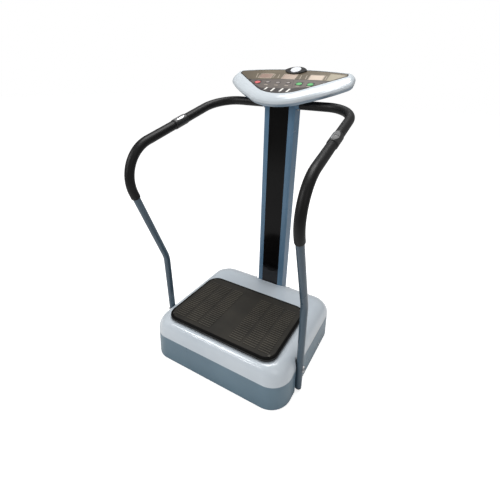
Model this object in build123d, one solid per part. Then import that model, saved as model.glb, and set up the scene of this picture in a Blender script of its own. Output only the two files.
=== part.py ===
from build123d import *
import math
import os

# Oscillating vibration plate for standing exercise: a base with a rocking platform,
# a column with a console, and two bent handlebars. Millimetres, +Z up, the user faces +Y.
# While it is modelled the origin is on the floor under the base's middle. At the end every
# piece is shifted along Y, so that the origin is under the middle of the whole machine.

# ---- base covers ----
BASE_W, BASE_D = 661.5, 596.3        # outline at the seam between skirt and deck
BASE_CORNER_R = 86.0
SEAM_Z = 125.4                       # parting line between skirt and deck
SKIRT_BOTTOM_Z = 5.6
SKIRT_DRAFT = 4.5                    # how far the skirt spreads towards the floor
DECK_TOP_Z = 200.5
DECK_SIDE, DECK_FRONT, DECK_BACK = 61.0, 36.0, 100.0   # width of the curved shoulder
DECK_TOP_CORNER_R = 56.0
COVER_WALL = 3.0
LIP_W, LIP_H = 4.0, 1.8              # raised lip round the column's foot
# ---- platform ----
PLATE_W, PLATE_D = 531.6, 363.5
PLATE_Y = -80.7
PLATE_CORNER_R = 54.3
MAT_TOP_Z = 222.8
MAT_T = 7.0
TRAY_T = 9.5
ROCK_DEG = 1.15                      # rock each way
PIVOT_Z = 150.0
DECK_HOLE_INSET = 22.0               # the deck's opening, in from the plate's edge
# ---- drive ----
CRANK_X, CRANK_Z = 150.0, 70.0
CRANK_THROW = 3.0
ROD_PIN_Z = 170.0
ROD_PIN_R = 8.0
CAM_R = 20.0
SHAFT_R = 10.0
PIVOT_R = 12.5
MOTOR_X, MOTOR_Z = -150.0, 90.0
MOTOR_R = 42.0
MOTOR_SHAFT_R = 7.0
MOTOR_PULLEY_R, CRANK_PULLEY_R = 20.8, 50.0
BELT_Y, BELT_W, BELT_T = 95.0, 12.0, 3.0
# ---- frame ----
RAIL_Z, RAIL_H, RAIL_W = 12.0, 30.0, 40.0
RAIL_WALL = 2.5
RAIL_X = 250.0
FRAME_FRONT_Y, FRAME_REAR_Y = -240.0, 210.0
CROSS_W = 30.0
CROSS_YS = (-190.0, 60.0)
POST_T = 10.0
MOTOR_PLATE_T = 4.0
# ---- column ----
COLUMN_W = 141.2
COLUMN_FRONT_Y, COLUMN_BACK_Y = 231.7, 301.0
COLUMN_WALL = 2.5
STRIP_W, STRIP_T = 88.6, 3.0
STRIP_BOTTOM_Z, STRIP_TOP_Z = 186.0, 1096.0
SOCKET_TOP_Z = 150.0
COLUMN_BOLT_ZS = (75.0, 118.0)
COLUMN_BOLT_Y = 270.0
# ---- handlebars ----
TUBE_R, TUBE_WALL = 14.2, 1.5
FOAM_R = 17.8
BAR_Y, BAR_Z = 253.0, 1087.5
BAR_BEND_X = 315.0
GRIP_BEND = (335.6, -337.1, 922.1)
LEG_BEND = (331.9, -156.5, 444.2)
LEG_FOOT = (340.5, -142.9, 16.2)
BAR_BEND_R, GRIP_BEND_R, LEG_BEND_R = 118.0, 138.0, 140.0
SENSOR_AT = 0.455                    # along the straight from bar bend to grip bend
SENSOR_L, SENSOR_R = 74.0, 19.8
CONTACT_L, CONTACT_W = 62.0, 27.0     # oval of the two contact plates together
FOAM_END_AT, JOINT_AT = 0.34, 0.40  # along the straight from grip bend to leg bend
SPIGOT_L = 60.0
FOOT_BOLT_ZS = (117.0, 138.0)
SCALLOP_R = 21.0
# ---- console ----
CONSOLE_TILT = 26.4
CONSOLE_Y, CONSOLE_Z = 184.1, 1131.0  # near tip of the panel
PANEL_NEAR_R = 163.0
PANEL_SIDE_X, PANEL_SIDE_V = 246.4, 152.6
PANEL_FAR_X, PANEL_FAR_V, PANEL_FAR_MID_V = 243.8, 172.4, 194.8
RIM_OUT, RIM_H = 48.3, -16.6         # the rim's widest line, out from and below the panel
TIP_SPREAD = 0.61                    # how much of that the rim spreads at its left and right
SIDE_BOW = 0.17                      # and how much its slanting sides bow outwards
FAR_LIP, FAR_SPREAD = 3.0, 0.1       # and past the panel's far edge
BELLY_OUT, BELLY_H = 43.6, -38.0
CONSOLE_WALL = 3.0
PANEL_T = 2.0
LEDGE = 6.0                          # width of the ledge that the panel lies on
BUTTON_TRAVEL = 1.0
BUTTONS = {                          # centre u, v and size on the panel
    "red_button": (-118.0, 77.0, 26.0, 20.0),
    "grey_button_left": (-70.5, 81.5, 17.0, 9.0),
    "grey_button_middle": (-23.7, 81.5, 17.0, 9.0),
    "grey_button_right": (22.8, 81.5, 17.0, 9.0),
    "green_button_left": (71.5, 78.0, 25.0, 20.0),
    "green_button_right": (120.0, 77.0, 25.0, 20.0),
}
WINDOW_US, WINDOW_V = (-105.0, 5.5, 124.0), 134.5
WINDOW_W, WINDOW_H = 57.0, 36.0
BADGE_U, BADGE_V, BADGE_W, BADGE_D = 14.0, 184.0, 100.0, 58.0
BADGE_H, BADGE_LOW, BADGE_DISC_R, BADGE_DISC_T = 5.0, -9.5, 22.5, 2.5
# ---- fits ----
RUNNING = 0.05                       # radial clearance of a turning fit
GAP = 0.3                            # between curved faces that don't move
SLIDE = 0.25                         # round a button
OPEN_PIVOT = 0.5                     # left at the open pivot, past the crank's full sweep

FAR = 4000.0
SIDES = {"left": -1, "right": 1}
nodes = {}


def box(x0, x1, y0, y1, z0, z1):
    """A block between two corners."""
    size = (abs(x1 - x0), abs(y1 - y0), abs(z1 - z0))
    return Pos((x0 + x1) / 2, (y0 + y1) / 2, (z0 + z1) / 2) * Box(*size)


def along_y(r, x, z, y0, y1):
    """A round bar whose axis runs along Y."""
    return Pos(x, (y0 + y1) / 2, z) * Rot(90, 0, 0) * Cylinder(r, abs(y1 - y0))


def along_x(r, y, z, x0, x1):
    """A round bar whose axis runs along X."""
    return Pos((x0 + x1) / 2, y, z) * Rot(0, 90, 0) * Cylinder(r, abs(x1 - x0))


def along_z(r, x, y, z0, z1):
    """A round bar whose axis runs along Z."""
    return Pos(x, y, (z0 + z1) / 2) * Cylinder(r, abs(z1 - z0))


def slab(width, depth, corner, y, z0, z1):
    """A flat plate with rounded corners."""
    outline = Pos(0, y, z0) * RectangleRounded(width, depth, corner)
    return extrude(outline, z1 - z0)


def group(pieces):
    """Several separate solids in one node."""
    return Compound(children=[s for p in pieces for s in p.solids()])


def mix(a, b, t):
    """The point a share t of the way from a to b."""
    return tuple(p + (q - p) * t for p, q in zip(a, b))


# ---------------------------------------------------------------- base covers
def cover_section(inset_side, inset_front, inset_back, corner, z):
    width = BASE_W - 2 * inset_side
    depth = BASE_D - inset_front - inset_back
    return Pos(0, (inset_front - inset_back) / 2, z) * RectangleRounded(width, depth, corner)


def dome(wall):
    """The deck's outer form, or its inside when wall is more than nothing."""
    faces = []
    steps = 6
    for i in range(steps + 1):
        a = math.radians(90 * i / steps)
        out, up = 1 - math.cos(a), math.sin(a)
        corner = BASE_CORNER_R + (DECK_TOP_CORNER_R - BASE_CORNER_R) * out - wall
        z = SEAM_Z + (DECK_TOP_Z - SEAM_Z - wall) * up
        faces.append(cover_section(DECK_SIDE * out + wall, DECK_FRONT * out + wall,
                                   DECK_BACK * out + wall, corner, z))
    return loft(faces)


def skirt_form(wall):
    """The skirt's drafted outer form, or its inside."""
    low = cover_section(wall - SKIRT_DRAFT, wall - SKIRT_DRAFT, wall - SKIRT_DRAFT,
                        BASE_CORNER_R + SKIRT_DRAFT - wall, SKIRT_BOTTOM_Z)
    high = cover_section(wall, wall, wall, BASE_CORNER_R - wall, SEAM_Z)
    return loft([low, high], ruled=True)


def foot_point(z):
    """Where a handlebar leg's axis is at height z, on the right side."""
    t = (z - LEG_FOOT[2]) / (LEG_BEND[2] - LEG_FOOT[2])
    return mix(LEG_FOOT, LEG_BEND, t)


def recesses(grow):
    """Room for the handlebar feet at the sides and for the column at the back."""
    x, y, _ = foot_point(SEAM_Z)
    cuts = [along_z(SCALLOP_R + grow, side * x, y, -10, 260) for side in (-1, 1)]
    half = COLUMN_W / 2
    notch = [(-48, COLUMN_FRONT_Y - 2.5), (48, COLUMN_FRONT_Y - 2.5),
             (half + 10, COLUMN_FRONT_Y + 7), (half + 25, COLUMN_FRONT_Y + 32),
             (half + 48, BASE_D / 2 + 30), (-half - 48, BASE_D / 2 + 30),
             (-half - 25, COLUMN_FRONT_Y + 32), (-half - 10, COLUMN_FRONT_Y + 7)]
    outline = make_face(Polyline(*notch, close=True))
    if grow:
        outline = offset(outline, grow, kind=Kind.INTERSECTION)
    cuts.append(Pos(0, 0, -10) * extrude(outline, 270))
    return cuts


def lug_window(y0, y1, z0, z1):
    return box(-BASE_W, BASE_W, y0, y1, z0, z1)


def deck_and_skirt():
    _, lug_y, _ = foot_point(SEAM_Z)
    lug_hole = lug_window(lug_y - LUG_W / 2 - 2, lug_y + LUG_W / 2 + 2, LUG_Z0 - 2, LUG_Z1 + 2)
    opening = slab(PLATE_W - 2 * DECK_HOLE_INSET, PLATE_D - 2 * DECK_HOLE_INSET,
                   PLATE_CORNER_R - DECK_HOLE_INSET, PLATE_Y, SEAM_Z + 20, DECK_TOP_Z + 20)
    inner_dome, inner_skirt = dome(COVER_WALL), skirt_form(COVER_WALL)
    outer_dome, outer_skirt = dome(0), skirt_form(0)
    for cut in recesses(COVER_WALL):
        inner_dome -= cut
        inner_skirt -= cut
    for cut in recesses(0):
        outer_dome -= cut
        outer_skirt -= cut
    lip = (dome(-LIP_H) & recesses(LIP_W)[-1]) - recesses(0)[-1] - dome(COVER_WALL)
    nodes["deck_cover"] = outer_dome - inner_dome - opening - lug_hole + lip
    skirt = outer_skirt - inner_skirt - lug_hole
    skirt -= box(INLET_X - 21, INLET_X + 21, BASE_D / 2 - 15, BASE_D / 2 + 15, INLET_Z - 13, INLET_Z + 13)
    skirt -= box(SWITCH_X - 12, SWITCH_X + 12, BASE_D / 2 - 15, BASE_D / 2 + 15, INLET_Z - 13, INLET_Z + 13)
    skirt -= box(-STUB_X1 - 4, STUB_X1 + 4, FRAME_REAR_Y, BASE_D / 2, 0, RAIL_Z + RAIL_H + 2)
    nodes["base_skirt"] = skirt


# ---------------------------------------------------------------- frame
LUG_W, LUG_Z0, LUG_Z1 = 30.0, 100.0, 155.0
LUG_GAP = 0.9                        # the leg leans a little along the lug's flat end
STUB_X0, STUB_X1 = 22.0, 62.0        # the two stub rails under the column
FOOT_XY = [(sx * RAIL_X, y) for sx in (-1, 1) for y in (-195.0, 185.0)]
INLET_X, SWITCH_X, INLET_Z = 165.0, 215.0, 60.0


def hollow_rail(x0, x1, y0, y1, z0, z1, axis):
    wall = RAIL_WALL
    if axis == "x":
        inside = box(x0 - 1, x1 + 1, y0 + wall, y1 - wall, z0 + wall, z1 - wall)
    elif axis == "y":
        inside = box(x0 + wall, x1 - wall, y0 - 1, y1 + 1, z0 + wall, z1 - wall)
    else:
        inside = box(x0 + wall, x1 - wall, y0 + wall, y1 - wall, z0 - 1, z1 + 1)
    return box(x0, x1, y0, y1, z0, z1) - inside


def frame_weldment():
    top = RAIL_Z + RAIL_H
    inner_x = RAIL_X - RAIL_W / 2
    half_cross = CROSS_W / 2
    parts = []
    for side in (-1, 1):
        x0, x1 = sorted((side * (RAIL_X - RAIL_W / 2), side * (RAIL_X + RAIL_W / 2)))
        parts.append(hollow_rail(x0, x1, FRAME_FRONT_Y + 5, FRAME_REAR_Y + half_cross,
                                 RAIL_Z, top, "y"))
    for y in (FRAME_FRONT_Y + half_cross + 5, FRAME_REAR_Y) + CROSS_YS:
        parts.append(hollow_rail(-inner_x, inner_x, y - half_cross, y + half_cross,
                                 RAIL_Z, top, "x"))
    for side in (-1, 1):
        x0, x1 = sorted((side * STUB_X0, side * STUB_X1))
        parts.append(hollow_rail(x0, x1, FRAME_REAR_Y + half_cross, COLUMN_BACK_Y - 3,
                                 RAIL_Z, top, "y"))
    # socket that the column slides over
    inside = COLUMN_WALL + 1.5
    half = COLUMN_W / 2 - inside
    y0, y1 = COLUMN_FRONT_Y + STRIP_T + GAP + inside, COLUMN_BACK_Y - inside - 7
    socket = box(-half, half, y0, y1, top, SOCKET_TOP_Z)
    socket -= box(-half + 3, half - 3, y0 + 3, y1 - 3, top + 4, SOCKET_TOP_Z + 1)
    corner = [(-half, y0), (-half + 12, y0), (-half, y0 + 12)]
    for sx in (-1, 1):
        tri = make_face(Polyline(*[(-sx * x, y) for x, y in corner], close=True))
        socket -= Pos(0, 0, top - 1) * extrude(tri, FAR)
        thick = [(-half - 4, y0 - 4), (-half + 16.5, y0 - 4), (-half - 4, y0 + 16.5)]
        web = make_face(Polyline(*[(-sx * x, y) for x, y in thick], close=True))
        web = Pos(0, 0, top) * extrude(web, SOCKET_TOP_Z - top)
        tri_cut = Pos(0, 0, top - 1) * extrude(tri, FAR)
        socket += (web & box(-half, half, y0, y1, top, SOCKET_TOP_Z)) - tri_cut
    for z in COLUMN_BOLT_ZS:
        socket -= along_x(BOLT_R + GAP, COLUMN_BOLT_Y, z, -FAR, FAR)
    parts.append(socket)
    # posts for the platform's pivot and the crank
    for y in CROSS_YS:
        post = box(-30, 30, y - POST_T / 2, y + POST_T / 2, top, PIVOT_Z + 22)
        parts.append(post - along_y(PIVOT_R + RUNNING, 0, PIVOT_Z, -FAR, FAR))
        post = box(CRANK_X - 28, CRANK_X + 28, y - POST_T / 2, y + POST_T / 2, top, CRANK_Z + 26)
        parts.append(post - along_y(BEARING_R, CRANK_X, CRANK_Z, -FAR, FAR))
    # plate that carries the motor
    ya, yb = CROSS_YS[0] - half_cross, CROSS_YS[1] + half_cross
    parts.append(box(MOTOR_X - 50, MOTOR_X + 50, ya, yb, top, top + MOTOR_PLATE_T))
    # side lugs that the handlebar feet are bolted to
    fx, fy, _ = foot_point((LUG_Z0 + LUG_Z1) / 2)
    for side in (-1, 1):
        x0, x1 = sorted((side * (RAIL_X - 12), side * (RAIL_X + 12)))
        parts.append(hollow_rail(x0, x1, fy - LUG_W / 2, fy + LUG_W / 2, top, LUG_Z1, "z"))
        x0, x1 = sorted((side * (RAIL_X + 12), side * (fx - TUBE_R - LUG_GAP)))
        lug = hollow_rail(x0, x1, fy - LUG_W / 2, fy + LUG_W / 2, LUG_Z0, LUG_Z1, "x")
        end = sorted((side * (fx - TUBE_R - LUG_GAP - 8), side * (fx - TUBE_R - LUG_GAP)))
        parts.append(lug + box(end[0], end[1], fy - LUG_W / 2, fy + LUG_W / 2, LUG_Z0, LUG_Z1))
    frame = parts[0]
    for p in parts[1:]:
        frame += p
    for z in FOOT_BOLT_ZS:
        _, by, _ = foot_point(z)
        frame -= along_x(FOOT_BOLT_R + GAP, by, z, -FAR, FAR)
    for side, y in [(s, y) for s in (-1, 1) for y in SCREW_YS]:
        frame -= along_x(SCREW_R + RUNNING, y, SCREW_Z, side * (RAIL_X + 10), side * FAR)
    for x, y in FOOT_XY:
        frame -= along_z(FOOT_STEM_R, x, y, RAIL_Z - 1, RAIL_Z + RAIL_WALL + 1)
    nodes["base_frame"] = frame


BOLT_R, FOOT_BOLT_R, SCREW_R = 5.0, 4.0, 2.0
SCREW_YS, SCREW_Z = (-60.0, 120.0), 27.0
BEARING_R = 15.0
FOOT_STEM_R = 6.0
PAN_Z, PAN_T = 9.5, 1.5


def underpan_and_feet():
    wall = COVER_WALL + 0.5
    pan = Pos(0, 0, PAN_Z) * extrude(cover_section(wall, wall, wall, BASE_CORNER_R - wall, 0), PAN_T)
    for cut in recesses(COVER_WALL + 0.5):
        pan -= cut
    for x, y in FOOT_XY:
        pan -= along_z(FOOT_STEM_R, x, y, 0, 30)
    for i in range(9):
        slot = Pos(-60 + i * 15, -90, 0) * SlotOverall(90, 5, rotation=90)
        pan -= extrude(slot, 30)
    nodes["base_underpan"] = pan
    feet = []
    for x, y in FOOT_XY:
        cone = Pos(x, y, 0) * Cone(24, 20, PAN_Z, align=(Align.CENTER, Align.CENTER, Align.MIN))
        feet.append(cone + along_z(FOOT_STEM_R, x, y, PAN_Z - 1, RAIL_Z + RAIL_WALL))
    nodes["rubber_feet"] = group(feet)


# ---------------------------------------------------------------- platform
def platform():
    plate_top = MAT_TOP_Z - MAT_T
    plate_bottom = plate_top - TRAY_T
    tray = slab(PLATE_W, PLATE_D, PLATE_CORNER_R, PLATE_Y, plate_bottom, plate_top)
    mat = slab(PLATE_W - 3, PLATE_D - 3, PLATE_CORNER_R - 1.5, PLATE_Y, plate_top, MAT_TOP_Z)
    mat = fillet(mat.faces().sort_by(Axis.Z)[-1].edges(), 2.5)
    screws = []
    for sx in (-1, 1):
        for sy in (-1, 1):
            x, y = sx * (PLATE_W / 2 - 26), PLATE_Y + sy * (PLATE_D / 2 - 26)
            screws.append(along_z(5.5, x, y, MAT_TOP_Z - 2.5, MAT_TOP_Z)
                          + along_z(2.5, x, y, plate_bottom + 2, MAT_TOP_Z - 1))
            mat -= along_z(5.5 + RUNNING, x, y, MAT_TOP_Z - 2.5, MAT_TOP_Z + 5)
            mat -= along_z(2.5 + RUNNING, x, y, plate_top - 1, MAT_TOP_Z + 5)
            tray -= along_z(2.5 + RUNNING, x, y, plate_bottom + 2, plate_top + 5)
    nodes["platform_tray"], nodes["rubber_mat"] = tray, mat
    nodes["mat_screws"] = group(screws)

    beam_bottom = plate_bottom - 16
    frame = None
    for y in BLOCK_YS:
        beam = box(-215, 215, y - 18, y + 18, beam_bottom, plate_bottom)
        beam -= box(-216, 216, y - 15, y + 15, beam_bottom + 3, plate_bottom - 3)
        frame = beam if frame is None else frame + beam
    for x in (-CRANK_X, CRANK_X):
        beam = box(x - 15, x + 15, BLOCK_YS[0], BLOCK_YS[1], beam_bottom, plate_bottom)
        beam -= box(x - 12, x + 12, BLOCK_YS[0] + 18, BLOCK_YS[1] - 18, beam_bottom + 3, plate_bottom - 3)
        frame += beam
    for y in ROD_YS:
        for sy in (-1, 1):
            y0, y1 = sorted((y + sy * (ROD_T / 2 + 1), y + sy * (ROD_T / 2 + 7)))
            frame += box(CRANK_X - 13, CRANK_X + 13, y0, y1, ROD_PIN_Z - 13, beam_bottom)
        frame -= along_y(ROD_PIN_R + RUNNING, CRANK_X, ROD_PIN_Z, y - 20, y + 20)
    nodes["platform_frame"] = frame
    pins = [along_y(ROD_PIN_R, CRANK_X, ROD_PIN_Z, y - ROD_T / 2 - 8, y + ROD_T / 2 + 8) for y in ROD_YS]
    nodes["rod_pins"] = group(pins)
    blocks = []
    for y in BLOCK_YS:
        block = box(-34, 34, y - 16, y + 16, PIVOT_Z - 4, beam_bottom)
        block += along_y(24, 0, PIVOT_Z, y - 16, y + 16)
        blocks.append(block - along_y(PIVOT_R + RUNNING, 0, PIVOT_Z, -FAR, FAR))
    nodes["bearing_blocks"] = group(blocks)
    nodes["pivot_shaft"] = along_y(PIVOT_R, 0, PIVOT_Z, CROSS_YS[0] - 8, CROSS_YS[1] + 8)


BLOCK_YS = (-150.0, 20.0)
ROD_YS = (-105.0, -25.0)
ROD_T = 16.0


# ---------------------------------------------------------------- drive
def ring_y(r_out, r_in, x, z, y0, y1):
    return along_y(r_out, x, z, y0, y1) - along_y(r_in, x, z, y0 - 1, y1 + 1)


def crank_and_rods():
    big_r = CAM_R + 2 * CRANK_THROW + OPEN_PIVOT
    rods = []
    for y in ROD_YS:
        y0, y1 = y - ROD_T / 2, y + ROD_T / 2
        rod = along_y(big_r + 6, CRANK_X, CRANK_Z, y0, y1)
        rod += along_y(ROD_PIN_R + 6, CRANK_X, ROD_PIN_Z, y0, y1)
        rod += box(CRANK_X - 8, CRANK_X + 8, y0, y1, CRANK_Z + big_r, ROD_PIN_Z - 4)
        rod -= along_y(big_r, CRANK_X, CRANK_Z, y0 - 1, y1 + 1)
        rods.append(rod - along_y(ROD_PIN_R + RUNNING, CRANK_X, ROD_PIN_Z, y0 - 1, y1 + 1))
    nodes["connecting_rods"] = group(rods)
    shaft = along_y(SHAFT_R, CRANK_X, CRANK_Z, CROSS_YS[0] - POST_T, BELT_Y + BELT_W)
    for y in ROD_YS:
        shaft += along_y(CAM_R, CRANK_X + CRANK_THROW, CRANK_Z, y - ROD_T / 2, y + ROD_T / 2)
    nodes["crank_shaft"] = shaft
    bearings = [ring_y(BEARING_R, SHAFT_R + RUNNING, CRANK_X, CRANK_Z,
                       y - POST_T / 2 - 1, y + POST_T / 2 + 1)
                for y in CROSS_YS]
    nodes["crank_bearings"] = group(bearings)
    nodes["crank_pulley"] = pulley(CRANK_PULLEY_R, SHAFT_R, CRANK_X, CRANK_Z)
    nodes["motor_pulley"] = pulley(MOTOR_PULLEY_R, MOTOR_SHAFT_R, MOTOR_X, MOTOR_Z)
    nodes["drive_belt"] = belt_loop(BELT_T + GAP) - belt_loop(GAP)


def pulley(r, bore, x, z):
    """A flat-faced pulley with two flanges that keep the belt on."""
    half = BELT_W / 2 + 0.5
    wheel = along_y(r, x, z, BELT_Y - half, BELT_Y + half)
    for side in (-1, 1):
        y0, y1 = sorted((BELT_Y + side * half, BELT_Y + side * (half + 2)))
        wheel += along_y(r + 2, x, z, y0, y1)
    if r > 2.5 * bore:
        for k in range(5):
            a = math.radians(72 * k)
            mid = (r + bore) / 2 + 1
            wheel -= along_y((r - bore) / 4, x + mid * math.cos(a), z + mid * math.sin(a),
                             BELT_Y - 20, BELT_Y + 20)
    return wheel - along_y(bore, x, z, BELT_Y - 20, BELT_Y + 20)


def belt_loop(extra):
    """The filled outline round both pulleys, extra outside their faces."""
    r1, r2 = MOTOR_PULLEY_R + extra, CRANK_PULLEY_R + extra
    dx, dz = CRANK_X - MOTOR_X, CRANK_Z - MOTOR_Z
    gap = math.hypot(dx, dz)
    lean = math.atan2(dz, dx)
    tilt = math.acos((r1 - r2) / gap)
    ends = []
    for sign in (1, -1):
        a = lean + sign * tilt
        ends.append(((MOTOR_X + r1 * math.cos(a), MOTOR_Z + r1 * math.sin(a)),
                     (CRANK_X + r2 * math.cos(a), CRANK_Z + r2 * math.sin(a))))
    (m_up, c_up), (m_low, c_low) = ends
    outer_m = (MOTOR_X - r1 * math.cos(lean), MOTOR_Z - r1 * math.sin(lean))
    outer_c = (CRANK_X + r2 * math.cos(lean), CRANK_Z + r2 * math.sin(lean))
    outline = [Line(m_up, c_up), ThreePointArc(c_up, outer_c, c_low),
               Line(c_low, m_low), ThreePointArc(m_low, outer_m, m_up)]
    face = make_face(Wire(e.edges()[0] for e in outline))
    plane = Plane(origin=(0, BELT_Y + BELT_W / 2, 0), x_dir=(1, 0, 0), z_dir=(0, -1, 0))
    return extrude(plane * face, BELT_W)


def motor():
    y0, y1 = -55.0, 60.0
    top = RAIL_Z + RAIL_H
    body = ring_y(MOTOR_R, MOTOR_R - 3, MOTOR_X, MOTOR_Z, y0 + 8, y1 - 8)
    base = top + MOTOR_PLATE_T
    feet = box(MOTOR_X - 44, MOTOR_X + 44, y0 + 12, y1 - 12, base, base + 6)
    body += feet - along_y(MOTOR_R - 3, MOTOR_X, MOTOR_Z, y0, y1)
    nodes["motor_housing"] = body
    caps = []
    for ya, yb in ((y0, y0 + 8), (y1 - 8, y1)):
        cap = along_y(MOTOR_R, MOTOR_X, MOTOR_Z, ya, yb)
        caps.append(cap - along_y(MOTOR_SHAFT_R + RUNNING, MOTOR_X, MOTOR_Z, ya - 1, yb + 1))
    nodes["motor_end_caps"] = group(caps)
    nodes["motor_stator"] = ring_y(MOTOR_R - 3, MOTOR_R - 14, MOTOR_X, MOTOR_Z, y0 + 20, y1 - 20)
    rotor = along_y(MOTOR_SHAFT_R, MOTOR_X, MOTOR_Z, y0 - 4, BELT_Y + BELT_W)
    nodes["motor_armature"] = rotor + along_y(MOTOR_R - 15, MOTOR_X, MOTOR_Z, y0 + 22, y1 - 22)


def electrics():
    pan_top = PAN_Z + PAN_T
    for x, y in [(x, y) for x in (-62, 62) for y in (120, 174)]:
        nodes["base_underpan"] += along_z(3, x, y, pan_top - 0.5, pan_top + 10)
    board = box(-68, 68, 114, 180, pan_top + 10, pan_top + 11.6)
    for x0, x1, y0, y1, h in ((-60, -20, 125, 165, 28), (-10, 20, 120, 140, 22),
                              (-8, 24, 150, 172, 14), (34, 58, 124, 150, 30), (34, 58, 158, 172, 12)):
        board += box(x0, x1, y0, y1, pan_top + 11.6, pan_top + 11.6 + h)
    nodes["controller_board"] = board

    wall_y = BASE_D / 2 + SKIRT_DRAFT * (SEAM_Z - INLET_Z + 20) / (SEAM_Z - SKIRT_BOTTOM_Z)
    face_y = wall_y + 2.2
    inlet = box(INLET_X - 25, INLET_X + 25, wall_y, face_y, INLET_Z - 16, INLET_Z + 16)
    inlet += box(INLET_X - 16, INLET_X + 16, wall_y - 30, face_y, INLET_Z - 12, INLET_Z + 12)
    inlet -= box(INLET_X - 12.5, INLET_X + 12.5, face_y - 20, face_y + 5, INLET_Z - 8.5, INLET_Z + 8.5)
    for dx, dz in ((-7, 2), (7, 2), (0, -3)):
        inlet += box(INLET_X + dx - 1, INLET_X + dx + 1, face_y - 21, face_y - 5,
                     INLET_Z + dz - 2, INLET_Z + dz + 2)
    bezel = box(SWITCH_X - 15, SWITCH_X + 15, wall_y, face_y, INLET_Z - 16, INLET_Z + 16)
    bezel += box(SWITCH_X - 10.5, SWITCH_X + 10.5, wall_y - 18, face_y, INLET_Z - 12.5, INLET_Z + 12.5)
    bezel -= box(SWITCH_X - 8.5, SWITCH_X + 8.5, face_y - 14, face_y + 5, INLET_Z - 10.5, INLET_Z + 10.5)
    bridge = box(INLET_X + 20, SWITCH_X - 12, wall_y, face_y, INLET_Z - 16, INLET_Z + 16)
    nodes["power_entry"] = inlet + bezel + bridge
    axis_y = face_y - 5
    lever = along_x(9.2, axis_y, INLET_Z, SWITCH_X - 8, SWITCH_X + 8)
    lever &= box(-FAR, FAR, axis_y, axis_y + 6.2, -FAR, FAR)
    lever += along_x(3, axis_y, INLET_Z, SWITCH_X - 8, SWITCH_X + 8)
    nodes["power_switch"] = lever
    return axis_y


# ---------------------------------------------------------------- column
def column_profile(inset):
    """The column's section. The front has a shallow channel for the black strip."""
    half, front, back = COLUMN_W / 2 - inset, COLUMN_FRONT_Y, COLUMN_BACK_Y - inset
    channel, floor = STRIP_W / 2 + GAP, COLUMN_FRONT_Y + STRIP_T + GAP
    if inset:
        pts = [(0, floor + inset), (half - 11, floor + inset), (half, floor + inset + 11)]
    else:
        pts = [(0, floor), (channel, floor), (channel, front), (channel + 5, front),
               (half - 9, front + 1.5), (half, front + 6.5)]
    pts += [(half, back - 8), (half - 8, back)]
    whole = pts + [(-x, y) for x, y in reversed(pts) if x]
    return make_face(Polyline(*whole, close=True))


def console_plane(h):
    """The plane parallel to the console's panel, h above it. Its local X and Y are u and v."""
    tilt = math.radians(CONSOLE_TILT)
    normal = (0, -math.sin(tilt), math.cos(tilt))
    origin = (0, CONSOLE_Y + h * normal[1], CONSOLE_Z + h * normal[2])
    return Plane(origin=origin, x_dir=(1, 0, 0), z_dir=normal)


def column():
    top = RAIL_Z + RAIL_H
    tube = Pos(0, 0, top) * extrude(column_profile(0), 1200 - top)
    tube -= Pos(0, 0, top - 1) * extrude(column_profile(COLUMN_WALL), 1300)
    over = console_plane(BELLY_H) * Pos(0, 0, 150) * Box(900, 900, 300)
    tube -= over
    sleeve_r = TUBE_R + GAP + 2.2
    tube -= along_x(sleeve_r + RUNNING, BAR_Y, BAR_Z, -200, 200)
    for z in COLUMN_BOLT_ZS:
        tube -= along_x(BOLT_R + GAP, COLUMN_BOLT_Y, z, -200, 200)
    nodes["column_tube"] = tube
    x_end = COLUMN_W / 2 + 14
    sleeve = along_x(sleeve_r, BAR_Y, BAR_Z, -x_end, x_end)
    nodes["handlebar_socket"] = sleeve - along_x(TUBE_R + GAP, BAR_Y, BAR_Z, -x_end - 1, x_end + 1)
    strip = box(-STRIP_W / 2, STRIP_W / 2, COLUMN_FRONT_Y, COLUMN_FRONT_Y + STRIP_T,
                STRIP_BOTTOM_Z, STRIP_TOP_Z)
    nodes["column_strip"] = strip - over
    bolts = []
    for z in COLUMN_BOLT_ZS:
        for side in (-1, 1):
            ends = [side * (COLUMN_W / 2 - 14), side * COLUMN_W / 2]
            bolt = along_x(BOLT_R, COLUMN_BOLT_Y, z, *sorted(ends))
            head = sorted((side * COLUMN_W / 2, side * (COLUMN_W / 2 + 6)))
            bolts.append(bolt + along_x(8.5, COLUMN_BOLT_Y, z, *head))
    nodes["column_bolts"] = group(bolts)


# ---------------------------------------------------------------- handlebars
def tube_on(path, r):
    """A round bar along a path."""
    section = Plane(origin=path @ 0, z_dir=path % 0) * Circle(r)
    return sweep(section, path=path)


def pipe_on(path, r_out, r_in):
    return tube_on(path, r_out) - tube_on(path, r_in)


def mirrored(points, side):
    return [(side * x, y, z) for x, y, z in points]


def towards(a, b, length):
    """The point a set length from a on the way to b."""
    return mix(a, b, length / math.dist(a, b))


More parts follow.
